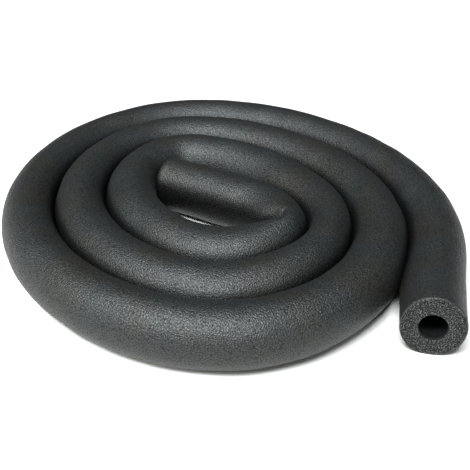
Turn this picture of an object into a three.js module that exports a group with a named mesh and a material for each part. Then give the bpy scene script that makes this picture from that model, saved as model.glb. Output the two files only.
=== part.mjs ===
// A length of black elastomeric foam pipe insulation, wound flat into an oval coil of three turns.
// Millimetres, +Z up. The coil lies on z = 0 and its cut outer end faces -Y.
import * as THREE from "three";

// The tube as it is made, before it is wound
const bore = 16; // passes over a 15 mm pipe with 1 mm of ease
const wall = 10;
const outerDiameter = bore + 2 * wall;

// Winding presses the round section a little narrower across the coil and taller
const squash = 0.036; // share of each diameter
const sectionWidth = outerDiameter * (1 - squash);
const sectionHeight = outerDiameter * (1 + squash);

// The wound oval, stated by the distance of each tangent from the coil's axis
const turnGap = 0.35; // left between neighbouring turns
const pitch = sectionWidth + turnGap;
const turns = 3;
const coreReach = 45.1; // tangent distance at the start of the first turn, before the oval is added
const ovalReach = 10.4; // added at the oval's ends and taken off at its flanks
const ovalHeading = 50; // degrees
const cornerReach = 0.7; // squares the oval slightly
const cornerHeading = -16; // degrees

// The inner end: a straight run across the eye of the coil, then a fold into the first turn
const innerRun = 59;
const foldRadius = 34.2;
const foldFlat = 7; // how far the middle of the fold is pressed in by the turn outside it
const foldStart = -80; // degrees of heading
const foldEnd = 100;

// The fold is tight, so the tube is pinched there: its inner side is pressed outwards
const pinchDepth = 14.5;
const pinchHeading = -6; // degrees
const pinchSpread = 26; // degrees

// The outer end leaves the coil straight
const tailRun = 62;

// Facets: with two more sides than a multiple of four, the tube lies on a flat one
const outerSides = 22;
const boreSides = 12;
const headingStep = 10; // degrees
const runSteps = 3;

const fullTurn = 360;
const radians = THREE.MathUtils.degToRad;

// Unit vectors for a heading: outwards from the coil, and along the tube (clockwise from above)
const outward = (heading) => new THREE.Vector2(Math.cos(radians(heading)), -Math.sin(radians(heading)));
const along = (heading) => new THREE.Vector2(-Math.sin(radians(heading)), -Math.cos(radians(heading)));

// The wound centreline. Its tangent at a heading lies at distance "reach" from the coil's axis, and
// the reach grows by one pitch a turn, so neighbouring turns run parallel. The point of contact is
// reach outwards and the reach's rate of change along.
function woundPoint(heading) {
  const oval = radians(2 * (heading - ovalHeading));
  const corner = radians(4 * (heading - cornerHeading));
  const growth = pitch / (2 * Math.PI);
  const reach =
    coreReach + growth * radians(heading) + ovalReach * Math.cos(oval) + cornerReach * Math.cos(corner);
  const rate = growth - 2 * ovalReach * Math.sin(oval) - 4 * cornerReach * Math.sin(corner);
  return outward(heading).multiplyScalar(reach).addScaledVector(along(heading), rate);
}

// One place on the tube: its centre, its heading, and how much narrower the section is there
const station = (point, heading) => ({ point, heading, pinch: 0 });

// Headings from first to last, both included, with the whole steps between them
function headings(first, last) {
  const list = [first];
  for (let h = Math.floor(first / headingStep + 1) * headingStep; h < last; h += headingStep) {
    list.push(h);
  }
  list.push(last);
  return list;
}

// A straight run of equal steps, which leaves out its own starting point
function straightRun(start, heading, length) {
  const list = [];
  for (let i = 1; i <= runSteps; i += 1) {
    const travelled = (length * i) / runSteps;
    list.push(station(start.clone().addScaledVector(along(heading), travelled), heading));
  }
  return list;
}

// The fold's centreline, stated the same way about a centre of its own: an arc that meets the first
// turn, flattened by a square of a sine that starts and ends level
function foldPoint(heading) {
  const centre = woundPoint(foldEnd).addScaledVector(outward(foldEnd), -foldRadius);
  const share = Math.PI / (foldEnd - foldStart);
  const phase = share * (heading - foldStart);
  const reach = foldRadius - foldFlat * Math.sin(phase) ** 2;
  const rate = (-foldFlat * share * Math.sin(2 * phase)) / radians(1);
  return centre.addScaledVector(outward(heading), reach).addScaledVector(along(heading), rate);
}

function route() {
  const innerEnd = foldPoint(foldStart).addScaledVector(along(foldStart), -innerRun);
  const coilEnd = turns * fullTurn;
  const fold = headings(foldStart, foldEnd).slice(1).map((heading) => {
    const place = station(foldPoint(heading), heading);
    place.pinch = pinchDepth * Math.exp(-(((heading - pinchHeading) / pinchSpread) ** 2));
    return place;
  });
  const wound = headings(foldEnd, coilEnd).slice(1).map((heading) => station(woundPoint(heading), heading));
  return [
    station(innerEnd, foldStart),
    ...straightRun(innerEnd, foldStart, innerRun),
    ...fold,
    ...wound,
    ...straightRun(woundPoint(coilEnd), coilEnd, tailRun),
  ];
}

// The tube's ring section: x across the coil, y up
function ringSection() {
  const ellipse = (diameter, sides) => {
    const points = [];
    for (let i = 0; i < sides; i += 1) {
      const angle = (2 * Math.PI * i) / sides;
      const x = (diameter / 2) * (1 - squash) * Math.cos(angle);
      const y = (diameter / 2) * (1 + squash) * Math.sin(angle);
      points.push(new THREE.Vector2(x, y));
    }
    return points;
  };
  const section = new THREE.Shape(ellipse(outerDiameter, outerSides));
  section.holes.push(new THREE.Path(ellipse(bore, boreSides)));
  return section;
}

// The tube is extruded straight, one step for each pair of stations, and each ring of its corners
// is then set square across the route at its station
function tubeGeometry() {
  const stations = route();
  const steps = stations.length - 1;
  const geometry = new THREE.ExtrudeGeometry(ringSection(), { depth: steps, steps, bevelEnabled: false });
  const corners = geometry.getAttribute("position");
  for (let i = 0; i < corners.count; i += 1) {
    const { point, heading, pinch } = stations[Math.round(corners.getZ(i))];
    const narrowed = 1 - pinch / sectionWidth;
    const across = corners.getX(i) * narrowed + pinch / 2;
    const place = point.clone().addScaledVector(outward(heading), across);
    corners.setXYZ(i, place.x, place.y, corners.getY(i) + sectionHeight / 2);
  }
  geometry.deleteAttribute("uv");
  geometry.computeVertexNormals();
  geometry.computeBoundingBox();
  const middle = geometry.boundingBox.getCenter(new THREE.Vector3());
  geometry.translate(-middle.x, -middle.y, -geometry.boundingBox.min.z);
  return geometry;
}

const foam = new THREE.MeshStandardMaterial({ color: 0x2b2d2f, roughness: 0.72, metalness: 0 });

const tube = new THREE.Mesh(tubeGeometry(), foam);
tube.name = "insulation_tube";

const coil = new THREE.Group();
coil.add(tube);

export default coil;
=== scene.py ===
import math

import bpy
import numpy as np
from mathutils import Matrix, Vector


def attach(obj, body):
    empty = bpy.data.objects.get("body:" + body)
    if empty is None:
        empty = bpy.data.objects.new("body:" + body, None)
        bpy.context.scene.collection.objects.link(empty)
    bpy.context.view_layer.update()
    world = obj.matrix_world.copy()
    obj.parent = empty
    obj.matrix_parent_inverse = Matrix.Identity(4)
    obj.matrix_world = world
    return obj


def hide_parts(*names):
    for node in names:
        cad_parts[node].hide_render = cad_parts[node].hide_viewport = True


# A length of black foam pipe insulation, wound flat into an oval coil. Metres, +Z up.
# First the route and the section of the tube, then the materials, the pieces and the studio.

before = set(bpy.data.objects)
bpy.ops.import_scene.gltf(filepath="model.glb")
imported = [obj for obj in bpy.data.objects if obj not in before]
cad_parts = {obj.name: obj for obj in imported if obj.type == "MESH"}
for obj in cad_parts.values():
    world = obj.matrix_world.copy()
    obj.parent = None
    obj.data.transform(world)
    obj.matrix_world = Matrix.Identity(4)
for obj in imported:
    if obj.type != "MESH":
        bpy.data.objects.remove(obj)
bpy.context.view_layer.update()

MM = 0.001

# The tube, as in the frame
BORE = 16 * MM
WALL = 10 * MM
OUTER = BORE + 2 * WALL
SQUASH = 0.036
WIDTH = OUTER * (1 - SQUASH)
HEIGHT = OUTER * (1 + SQUASH)

# The wound route. Headings are in degrees, clockwise from above, and at 0 the tube's outer side
# faces +X. It is the frame's route with the small irregularities of a coil wound by hand.
TURNS = 3
CORE_REACH = 43.6 * MM
PITCH = 34.46 * MM
SETTLING = -0.62 * MM
# Lobes round the coil: how many, then the reach of their cosine and its growth per turn, and the
# same for their sine
LOBES = (
    (1, -0.52 * MM, 2.19 * MM, 0.26 * MM, -0.41 * MM),
    (2, -0.83 * MM, -1.64 * MM, 10.17 * MM, -0.65 * MM),
    (3, 0.72 * MM, -0.27 * MM, -0.55 * MM, 0.45 * MM),
    (4, 0.18 * MM, -0.24 * MM, -0.92 * MM, 0.09 * MM),
)
INSET = 1.98 * MM
INSET_HEADING = 146.8
INSET_SPREAD = 60.3
INNER_RUN = 60.8 * MM
FOLD_RADIUS = 32.74 * MM
FOLD_SWELL = 6.83 * MM
FOLD_LEAN = 2.99 * MM
FOLD_START = -76.1
FOLD_END = 100.5
PINCH_DEPTH = 13.4 * MM
PINCH_HEADING = 8.1
PINCH_SPREAD = 26.7
TAIL_RUN = 63.5 * MM
TAIL_TURN = -3.56
FRAME_SHIFT = 8.7635 * MM  # from the coil's axis to the frame's origin, on both axes

# How the soft tube lies against itself and the floor
FOLD_GIVE = 0.14  # the folded part's share where it presses on the first turn
FOLD_BLEND = 12  # degrees of heading over which the fold's way of pressing ends
PINCH_BLEND = 8
TOUCH_SPAN = 38.5 * MM
APART_SPAN = 43 * MM
OPEN_SPACE = 3 * OUTER
OWN_LENGTH = 2.8 * OUTER  # a strand is no neighbour of itself within this length
RISE = 0.22
CONTACT_SMOOTHING = 9 * MM
FLOOR_PRESS = 0.35 * MM
FLOOR_ROUNDING = 0.25 * MM
END_SLANT = 3 * MM
END_SLANT_RUN = 45 * MM

# The camera, worked out from the photograph's outline
CAMERA_TARGET = Vector((7.31 * MM, -7.56 * MM, 0))
CAMERA_DISTANCE = 476.4 * MM
CAMERA_ELEVATION = 32.37
CAMERA_AZIMUTH = 16.39
FOCAL_PIXELS = 703.9
FRAME_PIXELS = 470
SENSOR_WIDTH = 36
CLIP_START = 10 * MM

# How finely the route is sampled
HEADING_STEP = 0.01
FOLD_SAMPLES = 400
WOUND_SAMPLES = 3000
STRAIGHT_SAMPLES = 120
WIDTH_SAMPLES = 1100


def outward(heading):
    """Unit vector across the tube, away from the coil's middle: (cos, -sin) of the heading."""
    angle = np.radians(heading)
    return np.stack([np.cos(angle), -np.sin(angle)], axis=-1)


def along(heading):
    """Unit vector along the tube: (-sin, -cos) of the heading, a quarter turn on from outward."""
    angle = np.radians(heading)
    return np.stack([-np.sin(angle), -np.cos(angle)], axis=-1)


def on_curve(heading, reach, rate):
    """Point whose tangent lies at distance reach: reach times outward plus its rate times along."""
    return reach[..., None] * outward(heading) + rate[..., None] * along(heading)


def wound_reach(heading):
    """The coil: a constant, plus the pitch for each turn, which shrinks a little from turn to turn,
    plus a cosine and a sine of each number of lobes, less a bell curve where the first turn lies
    closer."""
    turn = heading / 360
    reach = CORE_REACH + PITCH * turn + SETTLING * turn * (turn - TURNS)
    for lobes, cosine, cosine_growth, sine, sine_growth in LOBES:
        angle = np.radians(lobes * heading)
        since_middle = turn - TURNS / 2
        reach = reach + (cosine + cosine_growth * since_middle) * np.cos(angle)
        reach = reach + (sine + sine_growth * since_middle) * np.sin(angle)
    return reach - INSET * np.exp(-(((heading - INSET_HEADING) / INSET_SPREAD) ** 2))


def fold_reach(heading):
    """The fold: a constant, plus a squared sine that is level at both ends, leant by a cosine."""
    phase = math.pi * (heading - FOLD_START) / (FOLD_END - FOLD_START)
    return FOLD_RADIUS + (FOLD_SWELL + FOLD_LEAN * np.cos(phase)) * np.sin(phase) ** 2


def curve_of(reach_function, heading):
    """Points of the curve whose tangent at each heading lies at that reach, the rate by a small
    step of heading to either side."""
    heading = np.asarray(heading, float)
    change = reach_function(heading + HEADING_STEP) - reach_function(heading - HEADING_STEP)
    return on_curve(heading, reach_function(heading), change / math.radians(2 * HEADING_STEP))


def dense_route():
    """The whole centreline, finely sampled: inner run, fold, wound turns and tail, with headings."""
    coil_end = TURNS * 360.0
    fold = np.linspace(FOLD_START, FOLD_END, FOLD_SAMPLES)
    fold_line = curve_of(fold_reach, fold)
    wound = np.linspace(FOLD_END, coil_end, WOUND_SAMPLES)
    wound_line = curve_of(wound_reach, wound)
    fold_line = fold_line + wound_line[0] - fold_line[-1]
    inner = np.linspace(-INNER_RUN, 0, STRAIGHT_SAMPLES)[:-1]
    inner_line = fold_line[0] + inner[:, None] * along(FOLD_START)
    tail = coil_end + TAIL_TURN * (np.arange(STRAIGHT_SAMPLES) + 0.5) / STRAIGHT_SAMPLES
    tail_line = wound_line[-1] + np.cumsum(along(tail) * TAIL_RUN / STRAIGHT_SAMPLES, axis=0)
    points = np.concatenate([inner_line, fold_line, wound_line[1:], tail_line])
    headings = np.concatenate([np.full(len(inner), float(FOLD_START)), fold, wound[1:], tail])
    return points - FRAME_SHIFT, headings


def distance_along(points):
    """Length of the line up to each of its points."""
    steps = np.hypot(*np.diff(points, axis=0).T)
    return np.concatenate([[0.0], np.cumsum(steps)])


ROUTE_POINTS, ROUTE_HEADINGS = dense_route()
ROUTE_LENGTHS = distance_along(ROUTE_POINTS)
TUBE_LENGTH = float(ROUTE_LENGTHS[-1])


def smoothed(values, reach):
    """Values along the tube, blurred over the given length by a bell curve."""
    spacing = TUBE_LENGTH / (len(values) - 1)
    offsets = np.arange(-int(3 * reach / spacing), int(3 * reach / spacing) + 1)
    bell = np.exp(-0.5 * (offsets * spacing / reach) ** 2)
    padded = np.pad(values, len(offsets) // 2, mode="edge")
    return np.convolve(padded, bell / bell.sum(), mode="valid")


def spans_beside(lengths):
    """Distance from the tube's middle to that of the strand beside it, outwards and inwards, where
    a line straight across meets it, or a wide open space where there is none."""
    x = np.interp(lengths, ROUTE_LENGTHS, ROUTE_POINTS[:, 0])
    y = np.interp(lengths, ROUTE_LENGTHS, ROUTE_POINTS[:, 1])
    points = np.stack([x, y], axis=1)
    heading = np.interp(lengths, ROUTE_LENGTHS, ROUTE_HEADINGS)
    gap = points[None, :, :] - points[:, None, :]
    sideways = np.einsum("ijk,ik->ij", gap, outward(heading))
    ahead = np.einsum("ijk,ik->ij", gap, along(heading))
    apart = np.abs(lengths[None, :-1] - lengths[:, None]) > OWN_LENGTH
    before, after = ahead[:, :-1], ahead[:, 1:]
    met = apart & (before * after <= 0)
    share = before / np.where(before == after, 1, before - after)
    across = sideways[:, :-1] + share * (sideways[:, 1:] - sideways[:, :-1])
    spans = []
    for side in (1, -1):
        on_side = met & (side * across > 0)
        spans.append(np.where(on_side, side * across, OPEN_SPACE).min(axis=1))
    return spans


def half_widths():
    """Half the tube's width outwards and inwards along it, the pinch, and how closely a strand lies
    beside it on each side, which places the painted shade in the grooves. Where strands touch, each
    takes half the span, but the fold gives way less than the first turn, and a bell curve of heading
    pinches the fold from its inner side."""
    lengths = np.linspace(0, TUBE_LENGTH, WIDTH_SAMPLES)
    heading = np.interp(lengths, ROUTE_LENGTHS, ROUTE_HEADINGS)
    half = WIDTH / 2
    widths = []
    touches = []
    for span, fold_share, turn in zip(spans_beside(lengths), (FOLD_GIVE, 1 - FOLD_GIVE), (0, 360)):
        pressed = half - np.maximum(WIDTH - span, 0) * fold_share
        spread = half + np.maximum(span - WIDTH, 0) / 2
        by_fold = np.where(span < WIDTH, pressed, spread)
        near_fold = np.clip((FOLD_END + turn - heading) / FOLD_BLEND, 0, 1)
        touching = by_fold * near_fold + span / 2 * (1 - near_fold)
        free = np.clip((span - TOUCH_SPAN) / (APART_SPAN - TOUCH_SPAN), 0, 1)
        free = free * free * (3 - 2 * free)
        widths.append(smoothed(touching + (half - touching) * free, CONTACT_SMOOTHING))
        touches.append(smoothed(1 - free, CONTACT_SMOOTHING))
    # Painted shade: the inner side also counts as touching where the fold's two legs face each other
    in_fold = np.clip((FOLD_END - heading) / FOLD_BLEND, 0, 1)
    touches[1] = np.maximum(touches[1], smoothed(in_fold, CONTACT_SMOOTHING))
    bell = np.exp(-(((heading - PINCH_HEADING) / PINCH_SPREAD) ** 2))
    bell = bell * np.clip((FOLD_END - heading) / PINCH_BLEND, 0, 1)
    pinch = PINCH_DEPTH * bell
    return lengths, widths[0], widths[1] - pinch, pinch, touches


WIDTH_LENGTHS, HALF_OUT, HALF_IN, PINCH, TOUCHES = half_widths()


def stations(lengths):
    """Centre, heading and outward direction of the tube at the given lengths."""
    x = np.interp(lengths, ROUTE_LENGTHS, ROUTE_POINTS[:, 0])
    y = np.interp(lengths, ROUTE_LENGTHS, ROUTE_POINTS[:, 1])
    heading = np.interp(lengths, ROUTE_LENGTHS, ROUTE_HEADINGS)
    return np.stack([x, y], axis=1), heading, outward(heading)


def soft_limit(value, limit, rounding):
    """Value held below the limit, with a rounded shoulder: a softplus of what is left over."""
    left = (limit - value) / rounding
    return limit - rounding * np.logaddexp(0, left)


WAVE_SEED = 7
WAVES = 28
WAVE_SPREAD = (0.75, 1.4)  # shares of the wavelength between which the waves differ


def unevenness(points, wavelength, seed):
    """Smooth noise of about unit height: a sum of sine waves of like length in all directions."""
    rng = np.random.default_rng(seed)
    directions = rng.normal(size=(WAVES, 3))
    directions /= np.linalg.norm(directions, axis=1)[:, None]
    numbers = math.tau / (wavelength * rng.uniform(*WAVE_SPREAD, WAVES))
    phases = rng.uniform(0, math.tau, WAVES)
    total = np.zeros(points.shape[:-1])
    for direction, number, phase in zip(directions, numbers, phases):
        total += np.sin(points @ (direction * number) + phase)
    return total / math.sqrt(WAVES / 2)


SWELL_HEIGHT = 0.10 * MM
SWELL_LENGTH = 26 * MM
PEBBLE_HEIGHT = 0.02 * MM
PEBBLE_LENGTH = 5 * MM
WRINKLE_DEPTH = 0.35 * MM
WRINKLE_LENGTH = 6.5 * MM
CREASE_DEPTH = 1.5 * MM
CREASE_REACH = 0.9 * MM
CREASE_PLACE = 109.8 * MM
CREASE_LEAN = 7.5 * MM
CREASE_ANGLE = 125
CREASE_TOP = 45  # degrees up the section from its outer flank where the crease fades out
CREASE_RISE = 90
CREASE_BOTTOM = 205
CREASE_DROP = 30
# Where the painted shade in the grooves between strands lies on each flank
GROOVE_TOP = 0.72  # cosine of the angle up the flank where a groove begins
GROOVE_BLEND = 0.26
CLEAR_OF_FLOOR = 2 * MM


def section_points(lengths, angles, share):
    """Points of the tube's wall. Share is 1 on the skin and 0 on the bore. The section is an ellipse
    between its two flanks, taller where it is narrower, with a level strip on the floor, and the
    inner end's face leans."""
    centre, heading, across = stations(lengths)
    half_out = np.interp(lengths, WIDTH_LENGTHS, HALF_OUT)
    half_in = np.interp(lengths, WIDTH_LENGTHS, HALF_IN)
    half_width = ((half_out + half_in) / 2)[:, None]
    middle = ((half_out - half_in) / 2)[:, None]
    kept_girth = np.sqrt((WIDTH / 2) ** 2 + (HEIGHT / 2) ** 2 - half_width ** 2)
    half_height = HEIGHT / 2 + RISE * (kept_girth - HEIGHT / 2)
    skin_x = half_width * np.cos(angles)[None, :]
    skin_y = half_height * np.sin(angles)[None, :]
    skin_y = -soft_limit(-skin_y, half_height - FLOOR_PRESS, FLOOR_ROUNDING)
    bore_share = BORE / OUTER
    mix = np.asarray(share)[:, None]
    scale = bore_share + (1 - bore_share) * mix
    x = skin_x * scale + middle
    bore_y = half_height * bore_share * np.sin(angles)[None, :]
    y = bore_y + (skin_y - bore_y) * mix
    z = y + half_height - FLOOR_PRESS
    slant = np.clip(1 - lengths / END_SLANT_RUN, 0, 1)[:, None] ** 2
    shift = -END_SLANT * slant * (z / HEIGHT - 0.5)
    onward = along(heading)
    plan = centre[:, None, :] + across[:, None, :] * x[..., None] + onward[:, None, :] * shift[..., None]
    return np.concatenate([plan, z[..., None]], axis=2)


def groove_shade_share(lengths, angles):
    """How much painted shade the skin gets in a groove between strands: 1 along the flank's widest
    line, a smooth step down to 0 above and below, on a side where a strand touches or the fold's legs face."""
    flank = np.cos(angles)
    depth = np.clip((np.abs(flank) - GROOVE_TOP) / GROOVE_BLEND, 0, 1)
    depth = depth * depth * (3 - 2 * depth)
    outer_side, inner_side = [np.interp(lengths, WIDTH_LENGTHS, touch)[:, None] for touch in TOUCHES]
    return depth[None, :] * np.where(flank[None, :] > 0, outer_side, inner_side)


def skin_relief(points, lengths, angles):
    """Height of the skin over its smooth shape: long swells, small pebbles, cosine wrinkles across
    the pinched inner side of the fold, and one sharp crease there, deepest on its line and falling
    off exponentially along the tube. All of it fades out close to the floor."""
    swell = SWELL_HEIGHT * unevenness(points, SWELL_LENGTH, WAVE_SEED)
    pebble = PEBBLE_HEIGHT * unevenness(points, PEBBLE_LENGTH, WAVE_SEED + 1)
    in_fold = np.interp(lengths, WIDTH_LENGTHS, PINCH) / PINCH_DEPTH
    inner_side = np.clip(-np.cos(angles), 0, 1) ** 2
    ripple = np.cos(math.tau * lengths / WRINKLE_LENGTH)
    wrinkle = -WRINKLE_DEPTH * (in_fold * (0.5 + 0.5 * ripple))[:, None] * inner_side[None, :]
    crease_line = CREASE_PLACE + CREASE_LEAN * (angles - math.radians(CREASE_ANGLE))
    away = np.abs(lengths[:, None] - crease_line[None, :])
    degrees = np.degrees(angles)
    share = np.clip((degrees - CREASE_TOP) / CREASE_RISE, 0, 1) ** 1.5
    share = share * np.clip((CREASE_BOTTOM - degrees) / CREASE_DROP, 0, 1)
    crease = -CREASE_DEPTH * np.exp(-away / CREASE_REACH) * share[None, :]
    clear = np.clip(points[..., 2] / CLEAR_OF_FLOOR, 0, 1)
    return (swell + pebble + wrinkle + crease) * clear


def ring_normals(points):
    """Outward normals of a grid of rings: the cross product of its two grid directions."""
    around = np.roll(points, -1, axis=1) - np.roll(points, 1, axis=1)
    onward = np.gradient(points, axis=0)
    normal = np.cross(around, onward)
    return normal / np.maximum(np.linalg.norm(normal, axis=2, keepdims=True), 1e-12)


def grid_faces(rows, columns, wrap_rows=False, wrap_columns=False):
    """Corner numbers of the quads of a grid, closed on itself in either direction if asked."""
    last_row = rows if wrap_rows else rows - 1
    last_column = columns if wrap_columns else columns - 1
    row, column = np.meshgrid(np.arange(last_row), np.arange(last_column), indexing="ij")
    next_row = (row + 1) % rows
    next_column = (column + 1) % columns
    corners = [
        row * columns + column,
        row * columns + next_column,
        next_row * columns + next_column,
        next_row * columns + column,
    ]
    return np.stack(corners, axis=-1).reshape(-1, 4)


def mesh_piece(name, points, faces, material, smooth=True):
    """A mesh object at the origin, with its places in its mesh, from whole arrays."""
    mesh = bpy.data.meshes.new(name)
    flat = points.reshape(-1, 3)
    mesh.vertices.add(len(flat))
    mesh.vertices.foreach_set("co", flat.astype(np.float32).ravel())
    mesh.loops.add(faces.size)
    mesh.loops.foreach_set("vertex_index", faces.astype(np.int32).ravel())
    mesh.polygons.add(len(faces))
    mesh.polygons.foreach_set("loop_start", np.arange(0, faces.size, 4, dtype=np.int32))
    mesh.polygons.foreach_set("use_smooth", np.full(len(faces), smooth))
    mesh.update(calc_edges=True)
    mesh.validate()
    piece = bpy.data.objects.new(name, mesh)
    bpy.context.scene.collection.objects.link(piece)
    mesh.materials.append(material)
    return piece


def float_attribute(piece, name, values):
    """A number for each vertex of a piece, for its material to read."""
    attribute = piece.data.attributes.new(name, "FLOAT", "POINT")
    attribute.data.foreach_set("value", values.astype(np.float32).ravel())


# Materials


def new_material(name):
    """An empty node material, with its shader and a function that adds and links nodes."""
    material = bpy.data.materials.new(name)
    material.use_nodes = True
    nodes = material.node_tree.nodes
    links = material.node_tree.links
    shader = nodes["Principled BSDF"]

    def node(kind, inputs=None, **settings):
        made = nodes.new(kind)
        for key, value in settings.items():
            setattr(made, key, value)
        for key, value in (inputs or {}).items():
            if isinstance(value, bpy.types.NodeSocket):
                links.new(value, made.inputs[key])
            else:
                made.inputs[key].default_value = value
        return made

    return material, shader, node, links


def colour_ramp(node, factor, stops):
    """A colour ramp over the factor, from (place, colour) pairs."""
    ramp = node("ShaderNodeValToRGB", {"Fac": factor})
    elements = ramp.color_ramp.elements
    while len(elements) < len(stops):
        elements.new(0.5)
    for element, (place, colour) in zip(elements, stops):
        element.position = place
        element.color = (*colour, 1)
    return ramp.outputs["Color"]


def mapped(node, value, source, target):
    """The value carried in a straight line from one range to another."""
    settings = {"Value": value, "From Min": source[0], "From Max": source[1]}
    settings.update({"To Min": target[0], "To Max": target[1]})
    return node("ShaderNodeMapRange", settings).outputs["Result"]


def shaded(node, colour, shade):
    """A colour times a shade."""
    sockets = {"Factor": 1.0, "A": colour, "B": shade}
    mix = node("ShaderNodeMix", sockets, data_type="RGBA", blend_type="MULTIPLY")
    return mix.outputs["Result"]


OLIVE_BLACK = (0.0135, 0.0130, 0.0095)
CHARCOAL = (0.0108, 0.0127, 0.0131)
BLUE_BLACK = (0.014, 0.0175, 0.0185)
WHITE = (1, 1, 1)
SPECK_SHADE = (0.1, 0.1, 0.1)
# GROOVE_SHADE is the painted shade in the grooves between strands
GROOVE_SHADE = (0.25, 0.25, 0.25)
SKIN_GRAIN_DEPTH = 0.23 * MM
SKIN_PEBBLE_DEPTH = 0.24 * MM
CRACK_SPAN = (0.0, 0.14)  # from the middle of a crack out to the pebble beside it
CRACK_GLOSS = (0.16, 0.66)
GRAIN_SPAN = (0.3, 0.7)
GRAIN_ROUGHNESS = (0.46, 0.62)


def foam_skin():
    """The closed skin of the foam: charcoal in olive and bluish patches, matt, with a leathery grain
    of pebbles about a millimetre across between duller cracks, and painted shade in the grooves:
    darker colour and weaker specular where strands touch and where the fold's legs face each other."""
    material, shader, node, links = new_material("foam_skin")
    place = node("ShaderNodeTexCoord").outputs["Object"]
    patches = node("ShaderNodeTexNoise", {"Vector": place, "Scale": 30.0, "Detail": 4.0}).outputs["Fac"]
    specks = node("ShaderNodeTexNoise", {"Vector": place, "Scale": 1500.0, "Detail": 1.0}).outputs["Fac"]
    grain_settings = {"Vector": place, "Scale": 1050.0, "Detail": 2.0, "Roughness": 0.55}
    grain = node("ShaderNodeTexNoise", grain_settings).outputs["Fac"]
    pebble_settings = {"Vector": place, "Scale": 1250.0}
    pebbles = node("ShaderNodeTexVoronoi", pebble_settings, feature="SMOOTH_F1")
    pebbles.inputs["Smoothness"].default_value = 0.35
    crack_settings = {"Vector": place, "Scale": 780.0}
    cracks = node("ShaderNodeTexVoronoi", crack_settings, feature="DISTANCE_TO_EDGE").outputs["Distance"]
    groove = node("ShaderNodeAttribute", attribute_name="groove").outputs["Fac"]

    tint = colour_ramp(node, patches, [(0.32, OLIVE_BLACK), (0.55, CHARCOAL), (0.72, BLUE_BLACK)])
    speckle = colour_ramp(node, specks, [(0.35, SPECK_SHADE), (0.65, WHITE)])
    # Painted shade: the grooves between strands and the facing legs of the fold darken to a quarter
    kept = colour_ramp(node, groove, [(0.0, WHITE), (1.0, GROOVE_SHADE)])
    links.new(shaded(node, shaded(node, tint, speckle), kept), shader.inputs["Base Color"])

    gloss = mapped(node, cracks, CRACK_SPAN, CRACK_GLOSS)
    # The painted shade also weakens the specular in the grooves
    dulled = node("ShaderNodeMath", operation="MULTIPLY")
    links.new(gloss, dulled.inputs[0])
    links.new(kept, dulled.inputs[1])
    links.new(dulled.outputs["Value"], shader.inputs["Specular IOR Level"])
    links.new(mapped(node, grain, GRAIN_SPAN, GRAIN_ROUGHNESS), shader.inputs["Roughness"])

    coarse = node("ShaderNodeBump", {"Height": grain, "Strength": 1.0, "Distance": SKIN_GRAIN_DEPTH})
    fine_settings = {"Height": pebbles.outputs["Distance"], "Strength": 1.0, "Distance": SKIN_PEBBLE_DEPTH}
    fine = node("ShaderNodeBump", fine_settings, invert=True)
    links.new(coarse.outputs["Normal"], fine.inputs["Normal"])
    links.new(fine.outputs["Normal"], shader.inputs["Normal"])
    return material


# Cut foam colours: the grey cell walls, then painted shade down the slopes to the bottoms of the open cells
CELL_WALL = (0.115, 0.115, 0.112)
CELL_SLOPE_SHADE = (0.014, 0.014, 0.014)
CELL_BOTTOM_SHADE = (0.001, 0.001, 0.001)


def foam_cut():
    """The cut foam: grey cell walls round open cells, painted darker with depth to near black as painted
    shade.
    """
    material, shader, node, links = new_material("foam_cut")
    pit = node("ShaderNodeAttribute", attribute_name="pit").outputs["Fac"]
    tint = colour_ramp(node, pit, [(0.0, CELL_WALL), (0.08, CELL_SLOPE_SHADE), (0.32, CELL_BOTTOM_SHADE)])
    links.new(tint, shader.inputs["Base Color"])
    shader.inputs["Roughness"].default_value = 0.85
    shader.inputs["Specular IOR Level"].default_value = 0.3
    return material


# Painted shade: the bore is painted far darker than the skin, for the shade inside the tube
BORE_PAINTED_SHADE_DARK = (0.0012, 0.0016, 0.002)
BORE_PAINTED_SHADE_LIGHT = (0.003, 0.0036, 0.0042)
BORE_GRAIN_DEPTH = 0.3 * MM


def bore_wall():
    """The inside of the tube: the same foam, dull, with a soft grain, painted near black, far darker than
    the skin, as painted shade inside the bore.
    """
    material, shader, node, links = new_material("bore_wall")
    place = node("ShaderNodeTexCoord").outputs["Object"]
    grain = node("ShaderNodeTexNoise", {"Vector": place, "Scale": 500.0, "Detail": 2.0}).outputs["Fac"]
    links.new(colour_ramp(node, grain, [(0.35, BORE_PAINTED_SHADE_DARK), (0.65, BORE_PAINTED_SHADE_LIGHT)]), shader.inputs["Base Color"])
    rough = node("ShaderNodeBump", {"Height": grain, "Strength": 0.5, "Distance": BORE_GRAIN_DEPTH})
    links.new(rough.outputs["Normal"], shader.inputs["Normal"])
    shader.inputs["Roughness"].default_value = 0.9
    shader.inputs["Specular IOR Level"].default_value = 0.08
    return material


FLOOR_COLOUR = (0.65, 0.64, 0.62)


def plain_floor():
    """Plain, pale and matt."""
    material, shader, node, links = new_material("studio_floor")
    shader.inputs["Base Color"].default_value = (*FLOOR_COLOUR, 1)
    shader.inputs["Roughness"].default_value = 0.9
    shader.inputs["Specular IOR Level"].default_value = 0.1
    return material


# Pieces

RING_SIDES = 88
SKIN_RINGS = 900
EVEN_STEPS = 4000
RING_CROWDING = 7  # how many more rings lie at the crease
CROWDED_SPAN = 8 * MM
BORE_RINGS = 130
RECESS = 0.6 * MM
LIP_SHARES = (0.99, 0.965, 0.955)
RECESS_FLOOR_SHARE = 0.8
RECESS_FLOOR_RINGS = 5


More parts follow.
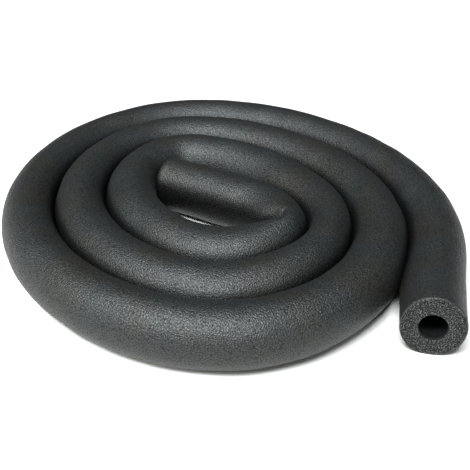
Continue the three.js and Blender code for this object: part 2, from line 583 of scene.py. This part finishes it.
def tube_skin(skin_material, bore_material):
    """The tube as one closed surface: rings along the skin, closer together at the crease, over the
    lip of one end, across a shallow recess that holds the cut face, back along the bore and out
    over the other lip. The bore has its own material."""
    angles = np.arange(RING_SIDES) * math.tau / RING_SIDES
    even = np.linspace(0, TUBE_LENGTH, EVEN_STEPS)
    crowding = np.cumsum(1 + RING_CROWDING * np.exp(-(((even - CREASE_PLACE) / CROWDED_SPAN) ** 2)))
    skin_lengths = np.interp(np.linspace(crowding[0], crowding[-1], SKIN_RINGS), crowding, even)
    skin = section_points(skin_lengths, angles, np.ones(SKIN_RINGS))
    skin = skin + ring_normals(skin) * skin_relief(skin, skin_lengths, angles)[..., None]
    floor_shares = np.linspace(RECESS_FLOOR_SHARE, 0.0, RECESS_FLOOR_RINGS)
    end_shares = np.concatenate([LIP_SHARES, floor_shares])
    end_depths = np.concatenate([[0.0, 0.0, RECESS], np.full(RECESS_FLOOR_RINGS, RECESS)])
    outer_end = section_points(TUBE_LENGTH - end_depths, angles, end_shares)
    inner_end = section_points(end_depths, angles, end_shares)[::-1]
    bore_lengths = np.linspace(TUBE_LENGTH - RECESS, RECESS, BORE_RINGS)[1:-1]
    bore = section_points(bore_lengths, angles, np.zeros(len(bore_lengths)))
    rings = np.concatenate([skin, outer_end, bore, inner_end])
    faces = grid_faces(len(rings), RING_SIDES, wrap_rows=True, wrap_columns=True)
    tube = mesh_piece("foam_tube", rings, faces, skin_material)
    # The share of painted shade in the grooves, for the skin's material to read
    groove = np.zeros((len(rings), RING_SIDES))
    groove[:SKIN_RINGS] = groove_shade_share(skin_lengths, angles)
    float_attribute(tube, "groove", groove)
    tube.data.materials.append(bore_material)
    ring = faces[:, 0] // RING_SIDES
    first_inside = SKIN_RINGS + len(end_shares) - 1
    last_inside = len(rings) - len(end_shares)
    inside = (ring >= first_inside) & (ring < last_inside)
    tube.data.polygons.foreach_set("material_index", inside.astype(np.int32))
    return tube


CELL = 0.5 * MM
CELL_DEPTH = 0.25 * MM
CELL_TABLE = 64
CELL_JITTER = (0.12, 0.88)
CELL_SIZES = (0.36, 0.62)
FACE_ROWS = 50
FACE_COLUMNS = 460
FACE_RIM = 0.957  # shares of the wall, from the bore to the skin, between which the face lies
FACE_BORE = -0.01
RIM_FADE = 0.04
BORE_FADE = 0.015
FACE_SET_BACK = 0.08 * MM
FACE_THICKNESS = 2 * MM
FACE_SWELL = 0.12 * MM
FACE_SWELL_LENGTH = 5 * MM
OUTER_CUT_SEED = 11
INNER_CUT_SEED = 12


def cell_pits(across, up, seed):
    """How deep each point lies in an open cell, from 0 on the walls to 1 in the middle. Each square
    of a grid has one cell with a jittered centre and its own size, and the depth is 1 less the
    squared distance to the centre over the size, the deepest of the squares around."""
    rng = np.random.default_rng(seed)
    table = rng.uniform(*CELL_JITTER, (CELL_TABLE, CELL_TABLE, 2))
    sizes = rng.uniform(*CELL_SIZES, (CELL_TABLE, CELL_TABLE))
    u = across / CELL
    v = up / CELL
    column = np.floor(u).astype(int)
    row = np.floor(v).astype(int)
    depth = np.zeros(u.shape)
    for i in (-1, 0, 1):
        for j in (-1, 0, 1):
            centre = table[(column + i) % CELL_TABLE, (row + j) % CELL_TABLE]
            size = sizes[(column + i) % CELL_TABLE, (row + j) % CELL_TABLE]
            far = np.hypot(column + i + centre[..., 0] - u, row + j + centre[..., 1] - v)
            depth = np.maximum(depth, 1 - (far / size) ** 2)
    return depth


def cut_face(name, end_length, inwards, material, seed):
    """The foam seen at a cut end: a grid of rings from the lip to the bore with its open cells
    pressed in, closed by a plain ring wall in the bore and a plain back inside the tube."""
    angles = np.arange(FACE_COLUMNS) * math.tau / FACE_COLUMNS
    shares = np.linspace(FACE_RIM, FACE_BORE, FACE_ROWS)
    front = section_points(np.full(FACE_ROWS, end_length), angles, shares)
    centre, heading, across = stations(np.array([end_length]))
    sideways = (front[..., :2] - centre[0]) @ across[0]
    rim = np.clip((FACE_RIM - shares) / RIM_FADE, 0, 1) * np.clip((shares - FACE_BORE) / BORE_FADE, 0, 1)
    pits = cell_pits(sideways, front[..., 2], seed) * rim[:, None]
    tangent = np.append(along(heading[0]), 0.0) * inwards
    swell = FACE_SWELL * unevenness(front, FACE_SWELL_LENGTH, seed) * rim[:, None]
    front = front + tangent * (CELL_DEPTH * pits + FACE_SET_BACK + swell)[..., None]
    # The edge of the bore is painted as dark as the bottom of a cell, as painted shade
    pits[-1] = 1
    back_lengths = np.full(2, end_length + inwards * FACE_THICKNESS)
    back = section_points(back_lengths, angles, np.array([FACE_BORE, FACE_RIM]))
    rings = np.concatenate([front, back])
    if inwards > 0:
        rings = rings[:, ::-1]
        pits = pits[:, ::-1]
    faces = grid_faces(len(rings), FACE_COLUMNS, wrap_rows=True, wrap_columns=True)
    piece = mesh_piece(name, rings, faces, material)
    float_attribute(piece, "pit", np.concatenate([pits, np.ones((2, FACE_COLUMNS))]))
    return piece


def dress_tube():
    """The foam tube and its two cut faces, in place of the frame's plain solid."""
    skin = foam_skin()
    cut = foam_cut()
    tube = tube_skin(skin, bore_wall())
    outer_cut = cut_face("outer_cut_face", TUBE_LENGTH, -1, cut, OUTER_CUT_SEED)
    inner_cut = cut_face("inner_cut_face", 0.0, 1, cut, INNER_CUT_SEED)
    for piece in (tube, outer_cut, inner_cut):
        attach(piece, "root")
    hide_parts("insulation_tube")


# Studio

FLOOR_WIDTH = 12.0
LIGHT_TARGET = (0, 0, 20 * MM)
NEAR = 1.5
FAR = 3.0
COOL = (0.93, 0.98, 1.0)
WARM = (1.0, 0.95, 0.84)
PLAIN = (0.98, 0.985, 0.94)
ROOM_LIGHT = 0.07


def studio_floor():
    """A plain pale floor, wider than the view."""
    half = FLOOR_WIDTH / 2
    corners = np.array([[-half, -half, 0], [half, -half, 0], [half, half, 0], [-half, half, 0]])
    floor = mesh_piece("studio_floor", corners, np.array([[0, 1, 2, 3]]), plain_floor(), smooth=False)


def soft_light(name, place, target, size, power, colour):
    """A rectangular area light at a place, facing a target."""
    light = bpy.data.lights.new(name, "AREA")
    light.shape = "RECTANGLE"
    light.size, light.size_y = size
    light.energy = power
    light.color = colour
    holder = bpy.data.objects.new(name, light)
    bpy.context.scene.collection.objects.link(holder)
    facing = (Vector(target) - Vector(place)).to_track_quat("-Z", "Y")
    holder.matrix_world = Matrix.Translation(place) @ facing.to_matrix().to_4x4()


def placed_softbox(name, side, height, distance, size, power, colour):
    """A softbox aimed at the coil, at an angle to the side of the front and one above the floor."""
    side_angle = math.radians(side)
    height_angle = math.radians(height)
    place = Vector((
        math.sin(side_angle) * math.cos(height_angle),
        -math.cos(side_angle) * math.cos(height_angle),
        math.sin(height_angle),
    ))
    soft_light(name, place * distance, LIGHT_TARGET, size, power, colour)


def studio_light():
    """A strong softbox high in front, a weaker one at the front left, two small ones low in front
    and at the front right, and a dim room round. Angles are in degrees, distances and sizes in
    metres, powers in watts."""
    placed_softbox("key_softbox", -49, 32, FAR, size=(1.6, 1.0), power=43, colour=PLAIN)
    placed_softbox("low_softbox", -14, 11, NEAR, size=(0.8, 0.3), power=1.2, colour=WARM)
    placed_softbox("upper_softbox", -6, 60, FAR, size=(1.5, 0.9), power=245, colour=COOL)
    placed_softbox("right_softbox", 40, 27, NEAR, size=(0.5, 0.4), power=2.6, colour=COOL)
    world = bpy.data.worlds.new("studio")
    bpy.context.scene.world = world
    world.use_nodes = True
    background = world.node_tree.nodes["Background"]
    background.inputs["Color"].default_value = (1, 1, 1, 1)
    background.inputs["Strength"].default_value = ROOM_LIGHT


def photo_camera():
    """The camera of the photograph, aimed from its azimuth and elevation at the target."""
    elevation = math.radians(CAMERA_ELEVATION)
    azimuth = math.radians(CAMERA_AZIMUTH)
    view = Vector((
        -math.sin(azimuth) * math.cos(elevation),
        math.cos(azimuth) * math.cos(elevation),
        -math.sin(elevation),
    ))
    data = bpy.data.cameras.new("photo_camera")
    data.sensor_width = SENSOR_WIDTH
    data.lens = SENSOR_WIDTH * FOCAL_PIXELS / FRAME_PIXELS
    data.clip_start = CLIP_START
    camera = bpy.data.objects.new("photo_camera", data)
    bpy.context.scene.collection.objects.link(camera)
    place = CAMERA_TARGET - view * CAMERA_DISTANCE
    facing = view.to_track_quat("-Z", "Y")
    camera.matrix_world = Matrix.Translation(place) @ facing.to_matrix().to_4x4()
    bpy.context.scene.camera = camera


photo_camera()
dress_tube()
studio_floor()
studio_light()
bpy.context.scene.view_settings.view_transform = "Standard"
